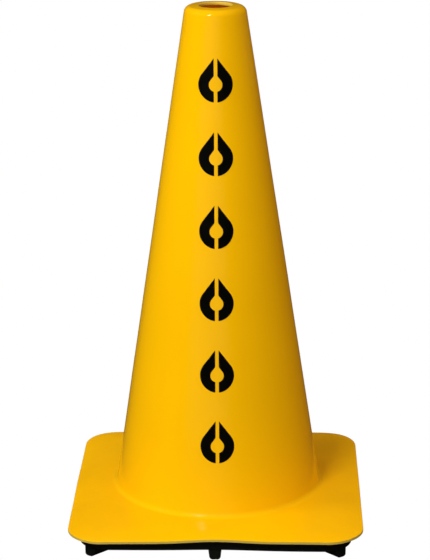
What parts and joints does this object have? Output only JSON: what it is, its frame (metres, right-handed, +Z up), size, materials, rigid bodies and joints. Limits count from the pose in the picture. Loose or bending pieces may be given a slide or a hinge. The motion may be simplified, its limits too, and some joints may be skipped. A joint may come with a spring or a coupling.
{
  "type": "wet floor cone",
  "caption": "Free-standing hollow safety cone with a square flange on a heavy ribbed base, open at the top, with a stencilled column of drops.",
  "frame": {"origin": "on the floor under the middle of the cone, where the feet stand", "axes": "+Z up along the cone's axis, with the column of drops facing -Y"},
  "size_m": [0.254, 0.254, 0.4572],
  "materials": {
    "yellow_pvc": "gloss",
    "black_base": "matte",
    "black_paint": "satin"
  },
  "bodies": {
    "root": {"cone_shell": "yellow_pvc", "base": "black_base", "stencil_marks": "black_paint"}
  },
  "joints": []
}
